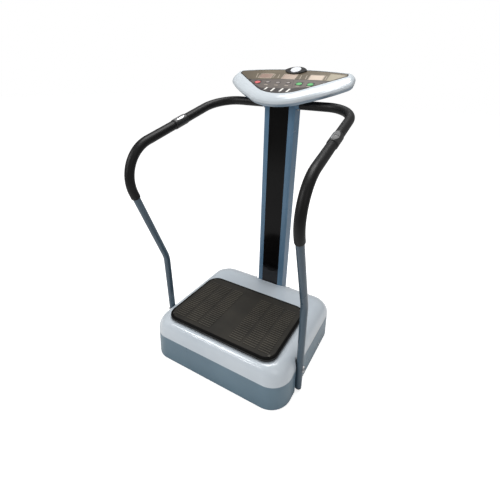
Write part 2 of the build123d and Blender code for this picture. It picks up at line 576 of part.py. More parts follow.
def handlebars():
    sensor_tops, sensor_clamps, sensor_plates, plugs = [], [], [], []
    for name, side in SIDES.items():
        start = (COLUMN_W / 2 - 20, BAR_Y, BAR_Z)
        foam_start = (COLUMN_W / 2 + 15, BAR_Y, BAR_Z)
        bend = (BAR_BEND_X, BAR_Y, BAR_Z)
        joint = mix(GRIP_BEND, LEG_BEND, JOINT_AT)
        upper = FilletPolyline(*mirrored([start, bend, GRIP_BEND, joint], side),
                               radius=[BAR_BEND_R, GRIP_BEND_R])
        spigot_end = towards(joint, LEG_BEND, SPIGOT_L)
        spigot_r = TUBE_R - TUBE_WALL - GAP
        spigot = Line(*mirrored([towards(joint, GRIP_BEND, 10), spigot_end], side))
        bar = pipe_on(upper, TUBE_R, TUBE_R - TUBE_WALL)
        bar += pipe_on(spigot, spigot_r, spigot_r - TUBE_WALL)
        bar += ring_on(towards(joint, GRIP_BEND, 4), joint, side, TUBE_R, spigot_r - TUBE_WALL)
        nodes[name + "_upper_handlebar"] = bar
        lower = FilletPolyline(*mirrored([joint, LEG_BEND, LEG_FOOT], side), radius=[LEG_BEND_R])
        leg = pipe_on(lower, TUBE_R, TUBE_R - TUBE_WALL)
        for z in FOOT_BOLT_ZS:
            _, y, _ = foot_point(z)
            leg -= along_x(FOOT_BOLT_R + GAP, y, z, -FAR, FAR)
        nodes[name + "_lower_handlebar"] = leg

        middle = mix(bend, GRIP_BEND, SENSOR_AT)
        sensor_back = towards(middle, bend, SENSOR_L / 2 + GAP)
        sensor_front = towards(middle, GRIP_BEND, SENSOR_L / 2 + GAP)
        foam_end = mix(GRIP_BEND, LEG_BEND, FOAM_END_AT)
        rear = FilletPolyline(*mirrored([foam_start, bend, sensor_back], side), radius=[BAR_BEND_R])
        front = FilletPolyline(*mirrored([sensor_front, GRIP_BEND, foam_end], side), radius=[GRIP_BEND_R])
        nodes[name + "_rear_grip"] = pipe_on(rear, FOAM_R, TUBE_R + GAP)
        nodes[name + "_front_grip"] = pipe_on(front, FOAM_R, TUBE_R + GAP)
        top_half, clamp_half, plates = pulse_sensor(side, middle, bend)
        sensor_tops.append(top_half)
        sensor_clamps.append(clamp_half)
        sensor_plates += plates
        plugs.append(foot_plug(side))
    nodes["sensor_tops"], nodes["sensor_clamps"] = group(sensor_tops), group(sensor_clamps)
    nodes["sensor_plates"], nodes["foot_plugs"] = group(sensor_plates), group(plugs)
    bolts = []
    for side in (-1, 1):
        for z in FOOT_BOLT_ZS:
            x, y, _ = foot_point(z)
            shank = sorted((side * (RAIL_X + 40), side * (x + TUBE_R + 1)))
            head = sorted((side * (x + TUBE_R + GAP), side * (x + TUBE_R + 5.5)))
            bolt = along_x(FOOT_BOLT_R, y, z, *shank) + along_x(6.6, y, z, *head)
            bolts.append(bolt)
    nodes["foot_bolts"] = group(bolts)
    cross_screws = []
    for side in (-1, 1):
        x = side * (COLUMN_W / 2 + 7)
        low = BAR_Z - TUBE_R - GAP - 2.2
        cross_screws.append(along_z(5, x, BAR_Y, low - 4, low) + along_z(2.5, x, BAR_Y, low - 1, low + 2.2))
    nodes["socket_screws"] = group(cross_screws)
    nodes["handlebar_socket"] -= along_z(2.5 + RUNNING, COLUMN_W / 2 + 7, BAR_Y, BAR_Z - 30, BAR_Z)
    nodes["handlebar_socket"] -= along_z(2.5 + RUNNING, -COLUMN_W / 2 - 7, BAR_Y, BAR_Z - 30, BAR_Z)


def ring_on(a, b, side, r_out, r_in):
    return pipe_on(Line(*mirrored([a, b], side)), r_out, r_in)


def foot_plug(side):
    """A plastic plug that closes the tube's lower end."""
    end = LEG_FOOT
    cap = Line(*mirrored([towards(end, LEG_BEND, -4), end], side))
    core = Line(*mirrored([towards(end, LEG_BEND, -1), towards(end, LEG_BEND, 18)], side))
    return tube_on(cap, TUBE_R) + tube_on(core, TUBE_R - TUBE_WALL - GAP)


def pulse_sensor(side, middle, bend):
    """Two half shells clamped round the bar, with two metal plates on top."""
    axis = Vector(*towards((0, 0, 0), [side * (b - m) if i == 0 else b - m
                                       for i, (b, m) in enumerate(zip(bend, middle))], 1))
    across = axis.cross(Vector(0, 0, 1)).normalized()
    centre = Vector(side * middle[0], middle[1], middle[2])
    plane = Plane(origin=centre - axis * (SENSOR_L / 2), x_dir=across, z_dir=axis)
    shell = extrude(plane * Circle(SENSOR_R), SENSOR_L)
    shell = fillet(shell.edges().filter_by(GeomType.CIRCLE), 5)
    shell -= extrude(plane * Circle(TUBE_R + GAP), SENSOR_L)
    up = across.cross(axis) * -1
    if up.Z < 0:
        up = up * -1
    split = Plane(origin=centre, x_dir=axis, z_dir=up)
    upper_room = split * Pos(0, 0, 50.05) * Box(200, 200, 100)
    lower_room = split * Pos(0, 0, -50.05) * Box(200, 200, 100)
    upper, lower = shell & upper_room, shell & lower_room
    plates = []
    skin = extrude(plane * (Circle(SENSOR_R + 0.8) - Circle(SENSOR_R - 1.2)), SENSOR_L)
    oval = extrude(split * Ellipse(CONTACT_L / 2, CONTACT_W / 2), 60)
    for end in (-1, 1):
        plate = skin & oval & (split * Pos(end * 51, 0, 30) * Box(100, 100, 60))
        upper -= plate
        plates.append(plate)
    return upper, lower, plates


# ---------------------------------------------------------------- console
def console_outline(grow, tip, far, bow=0.0):
    """The panel's outline in its own plane, moved out by grow at the user's side, by tip at
    the left and right, and by far at the far edge. Its slanting sides bow outwards by bow, and
    its four corners are rounded."""
    reach = Vector(PANEL_SIDE_X, PANEL_SIDE_V - PANEL_NEAR_R)
    a = math.atan2(reach.Y, reach.X) - math.acos(PANEL_NEAR_R / reach.length)
    r = PANEL_NEAR_R + grow
    end = (r * math.cos(a), PANEL_NEAR_R + r * math.sin(a))
    near_x = PANEL_SIDE_X + tip
    near_v = end[1] + (end[0] - near_x) * math.cos(a) / math.sin(a)
    near, back = (near_x, near_v), (PANEL_FAR_X + tip, PANEL_FAR_V + far)
    flip = lambda p: (-p[0], p[1])
    middle = ((end[0] + near_x) / 2 + bow * math.cos(a), (end[1] + near_v) / 2 + bow * math.sin(a))
    slant = ThreePointArc(end, middle, near) if bow else Line(end, near)
    back_slant = ThreePointArc(flip(near), flip(middle), flip(end)) if bow else Line(flip(near), flip(end))
    edges = [ThreePointArc(flip(end), (0, -grow), end), slant, Line(near, back),
             ThreePointArc(back, (0, PANEL_FAR_MID_V + far), flip(back)),
             Line(flip(back), flip(near)), back_slant]
    face = make_face(Wire(e.edges()[0] for e in edges))
    corners = face.vertices().sort_by(Axis.X)
    tips = [corners[i] for i in (0, 1, -2, -1)]
    low, high = sorted({round(v.Y, 3) for v in tips})[0], sorted({round(v.Y, 3) for v in tips})[-1]
    halfway = (low + high) / 2
    face = fillet([v for v in tips if v.Y < halfway], 8 + 0.8 * grow)
    corners = face.vertices().sort_by(Axis.Y)
    far_tips = [v for v in corners if v.Y > halfway and abs(v.Y - back[1]) < 0.01]
    return fillet(far_tips, 8 + 0.45 * grow)


def panel_outline(grow=0.0):
    """The panel's own outline, or the same a little larger or smaller."""
    face = console_outline(0, 0, 0)
    return offset(face, grow, kind=Kind.ARC) if grow else face


def rim_outline(grow, inset=0.0):
    """The console's outline where it has spread by grow, or inset inside of that."""
    face = console_outline(grow, TIP_SPREAD * grow, FAR_LIP + FAR_SPREAD * grow, SIDE_BOW * grow)
    return offset(face, -inset, kind=Kind.ARC) if inset else face


def console_loft(levels, inset=0.0):
    """A solid through the outline at each (grow, h)."""
    return loft([console_plane(h) * rim_outline(grow, inset) for grow, h in levels], ruled=True)


def console():
    seam = RIM_H - 4
    rim_levels = [(1, 0), (14, -0.6), (27, -3.0), (37, -6.8), (44, -11),
                  (RIM_OUT, RIM_H), (RIM_OUT + 0.4, seam)]
    outer_rim = console_loft(rim_levels)
    inside_levels = [(g, h - CONSOLE_WALL) for g, h in rim_levels[1:-1]] + [(RIM_OUT, seam - CONSOLE_WALL)]
    recess = extrude(console_plane(-PANEL_T) * panel_outline(GAP), 20)
    under = extrude(console_plane(-40) * panel_outline(-LEDGE), 60)
    nodes["console_rim"] = outer_rim - console_loft(inside_levels, CONSOLE_WALL) - recess - under
    belly_levels = [(BELLY_OUT - 9, BELLY_H), (BELLY_OUT - 2.5, BELLY_H + 2.5),
                    (BELLY_OUT, BELLY_H + 7), (RIM_OUT, seam)]
    inside_levels = [(g, max(h, BELLY_H + CONSOLE_WALL)) for g, h in belly_levels[1:-1]]
    inside_levels += [(RIM_OUT, seam + 1)]
    nodes["console_body"] = console_loft(belly_levels) - console_loft(inside_levels, CONSOLE_WALL)

    panel = extrude(console_plane(-PANEL_T) * panel_outline(), PANEL_T)
    lenses = []
    for u in WINDOW_US:
        lens = console_plane(-PANEL_T) * Pos(u, WINDOW_V, PANEL_T / 2) * Box(WINDOW_W, WINDOW_H, PANEL_T)
        panel -= console_plane(-PANEL_T) * Pos(u, WINDOW_V, 0) * Box(WINDOW_W, WINDOW_H, 30)
        lenses.append(lens)
    nodes["display_lenses"] = group(lenses)
    circuit_h = -11.0
    floor_cut = console_plane(circuit_h - 1.6)
    for name, (u, v, w, d) in BUTTONS.items():
        hole = Ellipse(w / 2 + SLIDE, d / 2 + SLIDE)
        panel -= extrude(console_plane(-PANEL_T - 1) * Pos(u, v) * hole, PANEL_T + 5)
        cap = extrude(Ellipse(w / 2, d / 2), PANEL_T + 1.8)
        cap = console_plane(-PANEL_T) * Pos(u, v) * fillet(cap.edges().sort_by(Axis.Z)[-1], 1.2)
        flange = extrude(console_plane(-PANEL_T - 1.6) * Pos(u, v) * Ellipse(w / 2 + 1.5, d / 2 + 1.5), 1.4)
        stem = extrude(console_plane(-PANEL_T - 6) * Pos(u, v) * Circle(2.5), 5)
        join = extrude(console_plane(-PANEL_T - 1.6) * Pos(u, v) * Ellipse(w / 2, d / 2), 2)
        nodes[name] = cap + flange + stem + join
    nodes["control_panel"] = panel
    pcb = floor_cut * Pos(0, 100, 0.8) * Box(290, 110, 1.6)
    switches = []
    for u, v, w, d in BUTTONS.values():
        switches.append(console_plane(circuit_h) * Pos(u, v, 0.9) * Box(7, 7, 1.8))
    pcb_all = pcb
    for s in switches:
        pcb_all += s
    for u, v in PCB_POSTS:
        pcb_all -= floor_cut * Pos(u, v, 0) * Cylinder(2.1, 10)
    nodes["console_board"] = pcb_all
    modules = []
    for u in WINDOW_US:
        modules.append(console_plane(circuit_h) * Pos(u, WINDOW_V, 4) * Box(WINDOW_W - 3, WINDOW_H - 4, 8))
    nodes["display_modules"] = group(modules)
    posts = None
    low = BELLY_H + CONSOLE_WALL
    for u, v in PCB_POSTS:
        height = circuit_h - 1.6 - low
        post = console_plane(low) * Pos(u, v, height / 2) * Cylinder(4, height)
        pin = console_plane(low) * Pos(u, v, height / 2 + 2) * Cylinder(2, height + 4)
        nodes["console_body"] += post + pin
    badge(outer_rim)
    return bracket_and_screws(low)


PCB_POSTS = ((-138, 108), (138, 108), (-95, 55), (95, 55))
MOUNT_SCREWS = ((-50, 72), (50, 72), (-50, 98), (50, 98))


def badge(outer_rim):
    """A pointed oval that lies on the panel and laps over its far edge."""
    half, rise = BADGE_W / 2, BADGE_D / 2
    outline = make_face(Wire([ThreePointArc((-half, 0), (0, -rise), (half, 0)).edges()[0],
                              ThreePointArc((half, 0), (0, rise), (-half, 0)).edges()[0]]))
    outline = fillet(outline.vertices(), 5)
    at = Pos(BADGE_U, BADGE_V)
    base = extrude(console_plane(BADGE_LOW) * at * outline, BADGE_H - BADGE_LOW) - outer_rim
    nodes["badge_base"] = base
    disc = extrude(console_plane(BADGE_H) * at * Circle(BADGE_DISC_R), BADGE_DISC_T)
    nodes["badge_disc"] = fillet(disc.faces().sort_by(Axis.Z)[-1].edges(), 1)


def bracket_and_screws(low):
    bracket = console_plane(low) * Pos(0, 85, 2) * Box(150, 90, 4)
    bolts = []
    for u, v in MOUNT_SCREWS:
        hole = console_plane(low) * Pos(u, v, 0) * Cylinder(3.2, 40)
        bracket -= hole
        nodes["console_body"] -= hole
        bolts.append(console_plane(low + 4) * Pos(u, v, 2.5) * Cylinder(5.5, 5)
                     + console_plane(low + 4) * Pos(u, v, -5) * Cylinder(3, 12))
    cable_hole = console_plane(low) * Pos(0, 85, 0) * Cylinder(12, 40)
    nodes["console_body"] -= cable_hole
    nodes["console_bracket"] = bracket - cable_hole
    nodes["bracket_bolts"] = group(bolts)
    flange_space = console_plane(BELLY_H) * Pos(0, 85, -2) * Box(COLUMN_W - 12, 50, 4)
    inside = Pos(0, 0, 900) * extrude(column_profile(COLUMN_WALL - 0.5), 400)
    flange = flange_space & inside
    for u, v in MOUNT_SCREWS:
        flange -= console_plane(low) * Pos(u, v, 0) * Cylinder(3.05, 40)
    nodes["column_tube"] += flange - cable_hole
    screws = []
    for u, v in ((-200, 130), (200, 130), (-90, 20), (90, 20)):
        head = console_plane(BELLY_H) * Pos(u, v, -1) * Cylinder(4, 2)
        shank = console_plane(BELLY_H) * Pos(u, v, 4) * Cylinder(1.6, 10)
        nodes["console_body"] -= console_plane(BELLY_H) * Pos(u, v, 0) * Cylinder(1.6 + RUNNING, 24)
        screws.append(head + shank)
    return screws


def cover_screws(screws):
    """The self-tapping screws of the skirt, grouped with the console's."""
    for side in (-1, 1):
        for y in SCREW_YS:
            wall_x = BASE_W / 2 + SKIRT_DRAFT * (SEAM_Z - SCREW_Z) / (SEAM_Z - SKIRT_BOTTOM_Z) + 0.3
            head = sorted((side * wall_x, side * (wall_x + 2)))
            shank = sorted((side * (RAIL_X + RAIL_W / 2 - RAIL_WALL), side * (wall_x + 0.5)))
            screws.append(along_x(5, y, SCREW_Z, *head) + along_x(SCREW_R, y, SCREW_Z, *shank))
            nodes["base_skirt"] -= along_x(SCREW_R + RUNNING, y, SCREW_Z, *sorted((side * 300, side * 400)))
    nodes["cover_screws"] = group(screws)


deck_and_skirt()
frame_weldment()
underpan_and_feet()
platform()
crank_and_rods()
motor()
switch_axis_y = electrics()
column()
handlebars()
console_screws = console()
cover_screws(console_screws)

whole = Compound(children=[Compound(children=list(n.solids())) for n in nodes.values()])
extent = whole.bounding_box()
shift_y = -(extent.min.Y + extent.max.Y) / 2
os.makedirs("parts", exist_ok=True)
for name, shape in nodes.items():
    solids = list(shape.solids())
    moved = [Pos(0, shift_y, 0) * s for s in solids]
    export_step(moved[0] if len(moved) == 1 else Compound(children=moved), "parts/" + name + ".step")
print("nodes", len(nodes), "size", extent.size, "shift", round(shift_y, 4))
tilt = math.radians(CONSOLE_TILT)
print("switch axis", SWITCH_X, round(switch_axis_y + shift_y, 3), INLET_Z)
print("press axis", 0, round(math.sin(tilt), 5), round(-math.cos(tilt), 5))
print("crank", CRANK_X, CRANK_Z, "motor", MOTOR_X, MOTOR_Z, "ratio", CRANK_PULLEY_R / MOTOR_PULLEY_R)
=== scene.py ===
import math

import bmesh
import bpy
from mathutils import Matrix, Vector


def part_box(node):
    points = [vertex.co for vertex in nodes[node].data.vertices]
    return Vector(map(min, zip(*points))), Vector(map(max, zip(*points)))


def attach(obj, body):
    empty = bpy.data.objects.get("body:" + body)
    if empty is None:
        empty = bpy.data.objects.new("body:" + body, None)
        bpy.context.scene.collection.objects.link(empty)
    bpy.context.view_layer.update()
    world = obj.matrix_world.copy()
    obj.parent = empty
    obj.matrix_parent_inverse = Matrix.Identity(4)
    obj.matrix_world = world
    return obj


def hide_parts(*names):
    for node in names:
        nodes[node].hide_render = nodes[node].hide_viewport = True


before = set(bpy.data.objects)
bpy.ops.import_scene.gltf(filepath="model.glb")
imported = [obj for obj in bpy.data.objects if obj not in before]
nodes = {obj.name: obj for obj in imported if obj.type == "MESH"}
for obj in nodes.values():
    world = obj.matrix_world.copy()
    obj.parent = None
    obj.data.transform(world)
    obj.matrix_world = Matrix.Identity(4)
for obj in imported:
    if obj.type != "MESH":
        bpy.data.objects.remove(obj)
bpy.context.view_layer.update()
scene = bpy.context.scene
MM = 0.001

# Rubber feet, under the corners of the frame. Each is a moulded cone of dull black rubber,
# pushed through the bottom pan into a hole of the side rail.


def tint(red, green, blue):
    """A display colour, 0 to 255, as the linear colour that a shader takes."""
    parts = [c / 255 for c in (red, green, blue)]
    return tuple(c / 12.92 if c < 0.04 else ((c + 0.055) / 1.055) ** 2.4 for c in parts) + (1,)


def surface(name, dark, light, size=40, rough=(0.4, 0.5), grain=0.0, grain_size=900,
            metal=0.0, coat=0.0, gloss=0.5, sheen=0.0):
    """A procedural finish: two tones in soft patches, uneven gloss, and a fine grain in mm."""
    patch_low, patch_high = 0.3, 0.7        # the middle range of a noise texture
    made = bpy.data.materials.new(name)
    made.use_nodes = True
    tree = made.node_tree
    link = tree.links.new
    shader = tree.nodes["Principled BSDF"]
    shader.inputs["Metallic"].default_value = metal
    shader.inputs["Specular IOR Level"].default_value = gloss
    shader.inputs["Coat Weight"].default_value = coat
    shader.inputs["Coat Roughness"].default_value = 0.08
    shader.inputs["Sheen Weight"].default_value = sheen
    place = tree.nodes.new("ShaderNodeTexCoord")
    patches = tree.nodes.new("ShaderNodeTexNoise")
    patches.inputs["Scale"].default_value = size
    patches.inputs["Detail"].default_value = 4
    link(place.outputs["Object"], patches.inputs["Vector"])
    tones = tree.nodes.new("ShaderNodeValToRGB")
    for stop, at, tone in zip(tones.color_ramp.elements, (patch_low, patch_high), (dark, light)):
        stop.position, stop.color = at, tint(*tone)
    link(patches.outputs["Fac"], tones.inputs["Fac"])
    link(tones.outputs["Color"], shader.inputs["Base Color"])
    wear = tree.nodes.new("ShaderNodeTexNoise")
    wear.inputs["Scale"].default_value = size * 0.4
    wear.inputs["Detail"].default_value = 6
    link(place.outputs["Object"], wear.inputs["Vector"])
    spread = tree.nodes.new("ShaderNodeMapRange")
    spread.inputs["From Min"].default_value = patch_low
    spread.inputs["From Max"].default_value = patch_high
    spread.inputs["To Min"].default_value, spread.inputs["To Max"].default_value = rough
    link(wear.outputs["Fac"], spread.inputs["Value"])
    link(spread.outputs["Result"], shader.inputs["Roughness"])
    if grain:
        fine = tree.nodes.new("ShaderNodeTexNoise")
        fine.inputs["Scale"].default_value = grain_size
        fine.inputs["Detail"].default_value = 2
        link(place.outputs["Object"], fine.inputs["Vector"])
        bump = tree.nodes.new("ShaderNodeBump")
        bump.inputs["Distance"].default_value = grain * MM
        bump.inputs["Strength"].default_value = 0.6
        link(fine.outputs["Fac"], bump.inputs["Height"])
        link(bump.outputs["Normal"], shader.inputs["Normal"])
    return made


def cover(material, *names):
    """Gives CAD nodes one finish."""
    for name in names:
        node = nodes[name]
        node.data.materials.clear()
        node.data.materials.append(material)


foot_rubber = surface("foot_rubber", (20, 20, 21), (32, 31, 30), rough=(0.6, 0.8), grain=0.15,
                      gloss=0.3)
cover(foot_rubber, "rubber_feet")

# Welded frame and bottom pan, inside the covers. Square steel tube and pressed sheet with
# black powder coat. The bottom pan closes the base from below and has cooling slots.
powder_coat = surface("powder_coat", (24, 25, 27), (34, 36, 39), size=60, rough=(0.45, 0.6),
                      grain=0.12, gloss=0.4)
cover(powder_coat, "base_frame", "platform_frame", "console_bracket")
pan_paint = surface("pan_paint", (36, 38, 40), (48, 50, 53), size=30, rough=(0.4, 0.55),
                    grain=0.08, gloss=0.4)
cover(pan_paint, "base_underpan")

# Drive, inside the base: a motor turns a crank through a flat belt, and two rods rock the
# platform. Turned steel shafts, cast pulleys, rods and bearing blocks, and an alloy motor.
turned_steel = surface("turned_steel", (150, 150, 152), (186, 186, 188), size=120,
                       rough=(0.22, 0.38), metal=1.0)
cover(turned_steel, "pivot_shaft", "crank_shaft", "crank_bearings", "rod_pins", "motor_armature")
cast_iron = surface("cast_iron", (74, 75, 78), (98, 99, 102), size=80, rough=(0.5, 0.65),
                    grain=0.25, metal=1.0)
cover(cast_iron, "bearing_blocks", "connecting_rods", "crank_pulley", "motor_pulley")
motor_alloy = surface("motor_alloy", (160, 161, 164), (184, 185, 188), size=50, rough=(0.35, 0.5),
                      grain=0.1, metal=1.0)
cover(motor_alloy, "motor_housing", "motor_end_caps")
winding = surface("winding", (120, 66, 34), (160, 92, 50), size=300, rough=(0.35, 0.5), metal=1.0)
cover(winding, "motor_stator")
belt_rubber = surface("belt_rubber", (18, 18, 19), (28, 28, 28), rough=(0.55, 0.7), grain=0.1,
                      gloss=0.3)
cover(belt_rubber, "drive_belt")

# Circuit boards, display modules and the power entry. Green glass-fibre boards with black
# parts on them, and a black moulded inlet and rocker switch at the back of the skirt.
board_green = surface("board_green", (20, 62, 34), (28, 82, 46), size=200, rough=(0.35, 0.5))
cover(board_green, "controller_board", "console_board", "display_modules")
inlet_plastic = surface("inlet_plastic", (17, 17, 18), (26, 26, 27), rough=(0.35, 0.5), grain=0.05)
cover(inlet_plastic, "power_entry", "power_switch")

# Skirt, the lower cover of the base. Injection-moulded plastic with a glossy skin, painted a slate
# blue-grey far darker than the deck as painted shade on its upright walls. Four self-tapping
# screws hold it to the side rails.
skirt_plastic = surface("skirt_plastic", (86, 112, 128), (100, 127, 143), size=4,
                        rough=(0.22, 0.32), coat=0.15)
cover(skirt_plastic, "base_skirt")

# Deck, the upper cover of the base. Light silver-grey moulded plastic with a polished skin,
# with a curved shoulder all round and a raised lip about the column's foot.
deck_plastic = surface("deck_plastic", (196, 206, 215), (211, 219, 226), size=3,
                       rough=(0.12, 0.2), coat=0.8)
cover(deck_plastic, "deck_cover")

# Standing mat: a moulded rubber sheet with a plain rim, three columns of raised ribs under
# each foot and a smooth band between them. It lies on the black tray of the platform.
RIB_PITCH, RIB_WIDTH, RIB_RISE = 11.9 * MM, 6.0 * MM, 1.8 * MM
RIB_COLUMNS = ((48, 107), (117, 175), (184, 236))       # mm each side of the middle
RIB_FRONT, RIB_BACK = 29 * MM, 46 * MM                  # plain rim before and behind the ribs
MAT_CORNER, MAT_ROUND = 53 * MM, 3 * MM
RIM_IN, RIM_OUT, LINE_RISE = 9 * MM, 12 * MM, 0.5 * MM  # a raised line inside the rim
BEVEL, ROOT = 1.0 * MM, 0.5 * MM         # a rib's sloping sides, and its depth in the sheet


def object_from(mesh_builder, name, *materials):
    """A new object from a bmesh."""
    data = bpy.data.meshes.new(name)
    bmesh.ops.recalc_face_normals(mesh_builder, faces=mesh_builder.faces)
    mesh_builder.to_mesh(data)
    mesh_builder.free()
    for material in materials:
        data.materials.append(material)
    made = bpy.data.objects.new(name, data)
    scene.collection.objects.link(made)
    return made


def rounded_corners(lo, hi, inset, radius, steps=10):
    """The outline of a rounded rectangle, inset from its box."""
    points = []
    r = radius - inset
    for k, (x, y) in enumerate(((hi.x, hi.y), (lo.x, hi.y), (lo.x, lo.y), (hi.x, lo.y))):
        cx = x - radius if x == hi.x else x + radius
        cy = y - radius if y == hi.y else y + radius
        for i in range(steps + 1):
            a = math.radians(90 * k + 90 * i / steps)
            points.append((cx + r * math.cos(a), cy + r * math.sin(a)))
    return points


mat_lo, mat_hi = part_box("rubber_mat")
mat_mid = (mat_lo + mat_hi) / 2
sheet = bmesh.new()
floor_z = mat_hi.z - RIB_RISE
profile = [(0, mat_lo.z), (0, floor_z - MAT_ROUND)]
for angle in (30, 60, 90):
    a = math.radians(angle)
    profile.append((MAT_ROUND * (1 - math.cos(a)), floor_z - MAT_ROUND * (1 - math.sin(a))))
profile += [(RIM_IN, floor_z), (RIM_IN + 0.6 * MM, floor_z + LINE_RISE),
            (RIM_OUT, floor_z + LINE_RISE), (RIM_OUT + 0.6 * MM, floor_z)]
rings = []
for inset, z in profile:
    corner_points = rounded_corners(mat_lo, mat_hi, inset, MAT_CORNER)
    rings.append([sheet.verts.new((x, y, z)) for x, y in corner_points])
edge_steps = len(rings[0])
for lower, upper in zip(rings, rings[1:]):
    for i in range(edge_steps):
        j = (i + 1) % edge_steps
        sheet.faces.new((lower[i], lower[j], upper[j], upper[i]))
sheet.faces.new(rings[-1])
sheet.faces.new(list(reversed(rings[0])))
y = mat_lo.y + RIB_FRONT
while y + RIB_WIDTH < mat_hi.y - RIB_BACK:
    for near, far in RIB_COLUMNS:
        for side in (-1, 1):
            x0, x1 = sorted((mat_mid.x + side * near * MM, mat_mid.x + side * far * MM))
            foot, crest = (
                [sheet.verts.new(p) for p in ((x0 + slope, y + slope, z),
                                              (x1 - slope, y + slope, z),
                                              (x1 - slope, y + RIB_WIDTH - slope, z),
                                              (x0 + slope, y + RIB_WIDTH - slope, z))]
                for slope, z in ((0, floor_z - ROOT), (BEVEL, mat_hi.z)))
            for i in range(4):
                sheet.faces.new((foot[i], foot[(i + 1) % 4], crest[(i + 1) % 4], crest[i]))
            sheet.faces.new(crest)
            sheet.faces.new(list(reversed(foot)))
    y += RIB_PITCH
mat_rubber = surface("mat_rubber", (38, 36, 32), (52, 49, 43), size=9, rough=(0.5, 0.65),
                     grain=0.12, gloss=0.3)
# Painted shade: the mat's wall, rounding and outer rim are near black, standing in for shade along
# its edge.
edge_painted_shade = surface("mat_edge_painted_shade", (5, 5, 5), (9, 9, 8), size=9, rough=(0.6, 0.75),
                      grain=0.1, gloss=0.12)
# Painted highlight: the ribs' flat tops are lighter than the rest of the sheet, as if lit.
rib_painted_highlight = surface("mat_rib_painted_highlight", (66, 63, 56), (80, 76, 67), size=9, rough=(0.42, 0.55),
                     grain=0.1, gloss=0.35)
# Painted shade: the ribs' sloping sides are darker than the sheet, as shade in the grooves between
# them.
groove_painted_shade = surface("mat_groove_painted_shade", (24, 23, 21), (33, 31, 28), size=9,
                        rough=(0.6, 0.75), gloss=0.15)
mat = object_from(sheet, "ribbed_mat", mat_rubber, edge_painted_shade, rib_painted_highlight, groove_painted_shade)
PLAIN, EDGE_SHADE, CREST_HIGHLIGHT, GROOVE_SHADE = range(4)
painted_shade_faces = 5 * edge_steps             # the wall, the rounding and the plain rim are made first; they take the painted shade
for face in mat.data.polygons:
    face.material_index = PLAIN
    if face.index < painted_shade_faces:
        face.material_index = EDGE_SHADE
    elif face.center.z > mat_hi.z - 0.1 * MM:
        face.material_index = CREST_HIGHLIGHT
    elif face.normal.z < 0.95 and face.center.z > floor_z + 0.1 * MM:
        face.material_index = GROOVE_SHADE
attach(mat, "platform")
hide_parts("rubber_mat")
tray_plastic = surface("tray_plastic", (9, 9, 9), (15, 15, 15), rough=(0.4, 0.55), grain=0.05,
                       gloss=0.35)
cover(tray_plastic, "platform_tray")

# Screws and bolts: bright zinc-plated steel. The mat has one in each corner, the skirt two
# a side, the column and the handlebar feet two a side, and the console hides the rest.
# Those of the mat are of darker, phosphated steel.
zinc = surface("zinc_plate", (168, 168, 170), (205, 205, 206), size=150, rough=(0.25, 0.4),
               metal=1.0)
dark_screw = surface("dark_screw", (84, 82, 78), (110, 107, 101), size=150, rough=(0.4, 0.5),
                     metal=1.0)
cover(dark_screw, "mat_screws")
cover(zinc, "cover_screws", "foot_bolts", "column_bolts", "bracket_bolts", "socket_screws")

# Column: a folded steel tube with bevelled front edges, enamelled slate blue. A sleeve welded
# through its top carries the handlebars.
enamel = surface("slate_enamel", (84, 116, 142), (95, 128, 156), size=5, rough=(0.25, 0.35),
                 coat=0.12, gloss=0.4)
cover(enamel, "column_tube", "handlebar_socket")

# Front strip: a gloss black acrylic facing let into the column from the console to the deck.
# A duller patch at its foot, with a bowl-shaped top edge, is the only mark on it.
strip_gloss = surface("strip_gloss", (6, 6, 6), (10, 9, 9), size=6, rough=(0.1, 0.16), gloss=0.16)
cover(strip_gloss, "column_strip")
strip_lo, strip_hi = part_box("column_strip")
ARC_RADIUS, ARC_LOW, ARC_STEPS = 56 * MM, 85.5 * MM, 16    # a bowl, 85.5 mm above the strip's foot
PRINT_T, SIDE_MARGIN, FOOT_MARGIN = 0.12 * MM, 1.5 * MM, 2 * MM
arc_shade = surface("arc_shade", (24, 25, 28), (32, 33, 37), size=10, rough=(0.15, 0.25),
                    gloss=0.2)
print_mesh = bmesh.new()
half_strip = (strip_hi.x - strip_lo.x) / 2 - SIDE_MARGIN
front_y = strip_lo.y
top_edge = []
for i in range(ARC_STEPS + 1):
    x = -half_strip + 2 * half_strip * i / ARC_STEPS
    z = strip_lo.z + ARC_LOW + ARC_RADIUS - math.sqrt(ARC_RADIUS ** 2 - x * x)
    top_edge.append((x, z))
foot_z = strip_lo.z + FOOT_MARGIN
outline = [(-half_strip, foot_z)] + top_edge + [(half_strip, foot_z)]
front = [print_mesh.verts.new((x, front_y - PRINT_T, z)) for x, z in outline]
back = [print_mesh.verts.new((x, front_y + PRINT_T, z)) for x, z in outline]
print_mesh.faces.new(front)
print_mesh.faces.new(list(reversed(back)))
for i in range(len(front)):
    j = (i + 1) % len(front)
    print_mesh.faces.new((front[i], front[j], back[j], back[i]))
arc = object_from(print_mesh, "strip_arc", arc_shade)
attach(arc, "machine")

# Handlebars: bent steel tube in slate enamel, painted darker than the column's as painted shade.
# The lower tubes slide over spigots and are bolted to lugs at the sides of the base, and black
# plugs close their feet.
bar_enamel_painted_shade = surface("bar_enamel_painted_shade", (62, 80, 94), (74, 93, 107), size=5, rough=(0.22, 0.32),
                     coat=0.2, gloss=0.4)
for hand in ("left", "right"):
    cover(bar_enamel_painted_shade, f"{hand}_upper_handlebar", f"{hand}_lower_handlebar")
plug_plastic = surface("plug_plastic", (14, 14, 14), (22, 22, 22), rough=(0.4, 0.55), grain=0.06,
                       gloss=0.4)
cover(plug_plastic, "foot_plugs")

